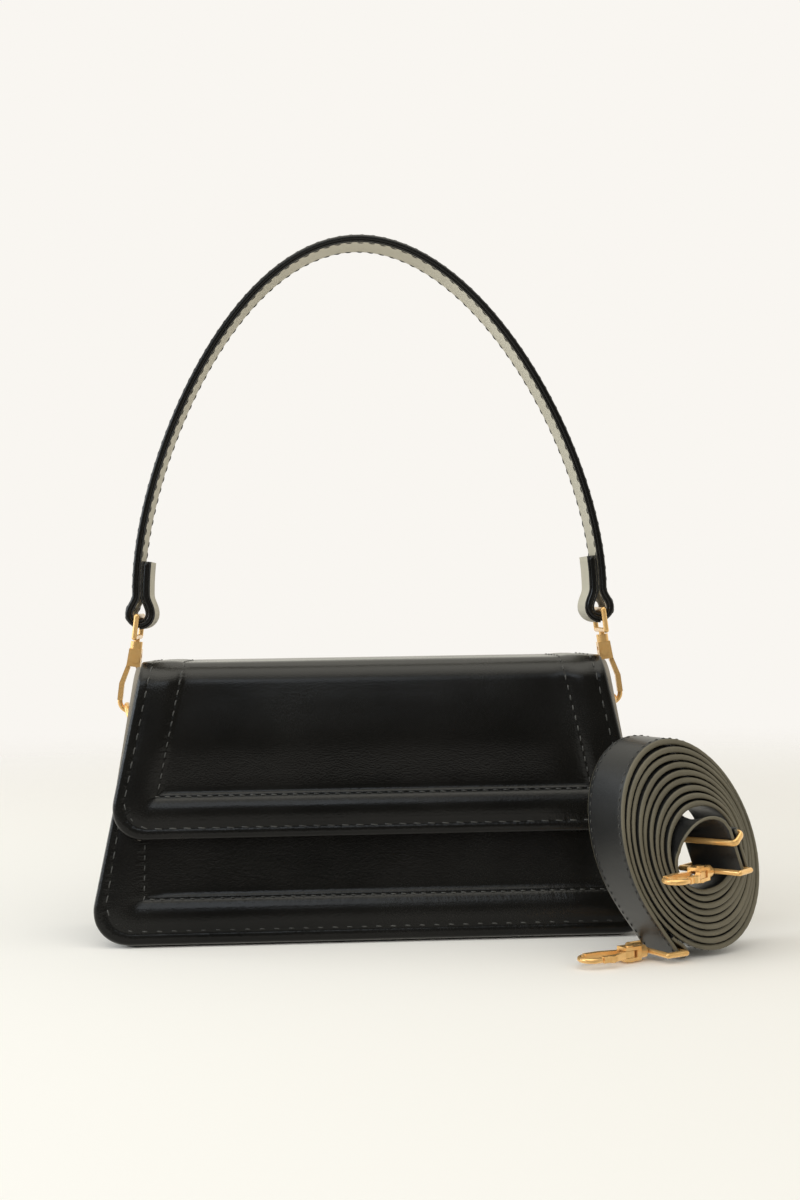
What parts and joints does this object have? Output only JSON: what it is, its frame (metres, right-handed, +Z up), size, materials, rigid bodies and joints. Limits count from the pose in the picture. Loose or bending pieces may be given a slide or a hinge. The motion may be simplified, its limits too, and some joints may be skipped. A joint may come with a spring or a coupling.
{
  "type": "baguette bag",
  "caption": "Small structured flap bag in black leather with padded borders, a short arched clip-on handle, pale gold snap hooks and a rolled shoulder strap.",
  "frame": {"origin": "the middle of the base, on the floor that the bag stands on", "axes": "X along the bag's width, to the right as seen from the front; -Y out of the front; +Z up"},
  "size_m": [0.2446, 0.1268, 0.272],
  "materials": {
    "outer_leather": "black smooth leather with a soft sheen",
    "border_leather": "black smooth leather over padding",
    "handle_leather": "black smooth leather with painted edges",
    "pale_lining": "pale warm grey lining leather, matt",
    "strap_leather": "black smooth leather",
    "tab_leather": "black smooth leather",
    "cloth": "black woven lining",
    "board": "grey stiffening board",
    "gold": "pale gold plating, polished",
    "gate_gold": "pale gold plating, polished",
    "magnet": "gold-coloured magnetic disc",
    "washer": "plain steel washer",
    "steel": "spring steel"
  },
  "bodies": {
    "bag": {"front_panel": "outer_leather", "front_border": "border_leather", "front_board": "board", "back_panel": "outer_leather", "back_board": "board", "base_panel": "outer_leather", "base_board": "board", "left_gusset": "outer_leather", "right_gusset": "outer_leather", "lining": "cloth", "slip_pocket": "cloth", "body_magnet": "magnet", "body_magnet_washer": "washer", "left_ring_tab": "tab_leather", "right_ring_tab": "tab_leather"},
    "flap": {"flap_panel": "outer_leather", "flap_border": "border_leather", "flap_board": "board", "flap_lining": "cloth", "flap_magnet": "magnet", "flap_magnet_washer": "washer"},
    "left_ring": {"left_d_ring": "gold"},
    "right_ring": {"right_d_ring": "gold"},
    "handle": {"handle_strap": "handle_leather", "handle_lining": "pale_lining", "left_tab_facing": "pale_lining", "right_tab_facing": "pale_lining", "left_hook_eye": "gold", "right_hook_eye": "gold"},
    "strap": {"shoulder_strap": "strap_leather", "strap_slider": "gold", "floor_hook_eye": "gold", "inner_hook_eye": "gold"},
    "left_hook": {"left_hook_claw": "gold", "left_hook_rivet": "gold", "left_hook_spring": "steel"},
    "left_gate": {"left_hook_gate": "gate_gold"},
    "right_hook": {"right_hook_claw": "gold", "right_hook_rivet": "gold", "right_hook_spring": "steel"},
    "right_gate": {"right_hook_gate": "gate_gold"},
    "floor_hook": {"floor_hook_claw": "gold", "floor_hook_rivet": "gold", "floor_hook_spring": "steel"},
    "floor_gate": {"floor_hook_gate": "gate_gold"},
    "inner_hook": {"inner_hook_claw": "gold", "inner_hook_rivet": "gold", "inner_hook_spring": "steel"},
    "inner_gate": {"inner_hook_gate": "gate_gold"}
  },
  "joints": [
    {"name": "flap_open", "type": "hinge", "parent": "bag", "child": "flap", "pos_m": [0, 0.0142, 0.105], "axis": [-1, 0, 0], "range_deg": [0, 180]},
    {"name": "handle_swing", "type": "hinge", "parent": "bag", "child": "handle", "pos_m": [0, 0, 0.0875], "axis": [-1, 0, 0], "range_deg": [0, 99]},
    {"name": "left_ring_swing", "type": "hinge", "parent": "bag", "child": "left_ring", "pos_m": [-0.0916, 0, 0.07842], "axis": [0, -1, 0], "range_deg": [-6, 0]},
    {"name": "right_ring_swing", "type": "hinge", "parent": "bag", "child": "right_ring", "pos_m": [0.0916, 0, 0.07842], "axis": [0, 1, 0], "range_deg": [-6, 0]},
    {"name": "left_hook_swivel", "type": "hinge", "parent": "handle", "child": "left_hook", "pos_m": [-0.09186, 0, 0.11458], "axis": [0.1259, 0, 0.992], "range_deg": [-8, 8]},
    {"name": "left_gate_press", "type": "hinge", "parent": "left_hook", "child": "left_gate", "pos_m": [-0.09213, 0, 0.10766], "axis": [0, 1, 0], "range_deg": [0, 6], "stiffness_Nm_per_rad": 0.02, "springref_deg": -5.73},
    {"name": "right_hook_swivel", "type": "hinge", "parent": "handle", "child": "right_hook", "pos_m": [0.09186, 0, 0.11458], "axis": [-0.1259, 0, 0.992], "range_deg": [-8, 8]},
    {"name": "right_gate_press", "type": "hinge", "parent": "right_hook", "child": "right_gate", "pos_m": [0.09213, 0, 0.10766], "axis": [0, -1, 0], "range_deg": [0, 6], "stiffness_Nm_per_rad": 0.02, "springref_deg": -5.73},
    {"name": "floor_hook_swivel", "type": "hinge", "parent": "strap", "child": "floor_hook", "pos_m": [0.09333, -0.06889, 0.0031], "axis": [0.8862, 0.4633, 0], "continuous": true},
    {"name": "floor_gate_press", "type": "hinge", "parent": "floor_hook", "child": "floor_gate", "pos_m": [0.08749, -0.07262, 0.0031], "axis": [0, 0, -1], "range_deg": [0, 15], "stiffness_Nm_per_rad": 0.02, "springref_deg": -5.73},
    {"name": "inner_hook_swivel", "type": "hinge", "parent": "strap", "child": "inner_hook", "pos_m": [0.11473, -0.07773, 0.03242], "axis": [0.6481, 0.7615, 0], "range_deg": [-8, 8]},
    {"name": "inner_gate_press", "type": "hinge", "parent": "inner_hook", "child": "inner_gate", "pos_m": [0.11071, -0.08338, 0.03242], "axis": [0, 0, -1], "range_deg": [0, 15], "stiffness_Nm_per_rad": 0.02, "springref_deg": -5.73},
    {"name": "strap_lift", "type": "slide", "parent": "bag", "child": "strap", "axis": [0, 0, 1], "range_m": [0, 0.15]}
  ],
  "couplings": [
    {"joint": "handle_swing", "follows": "flap_open", "ratio": 0.55}
  ]
}
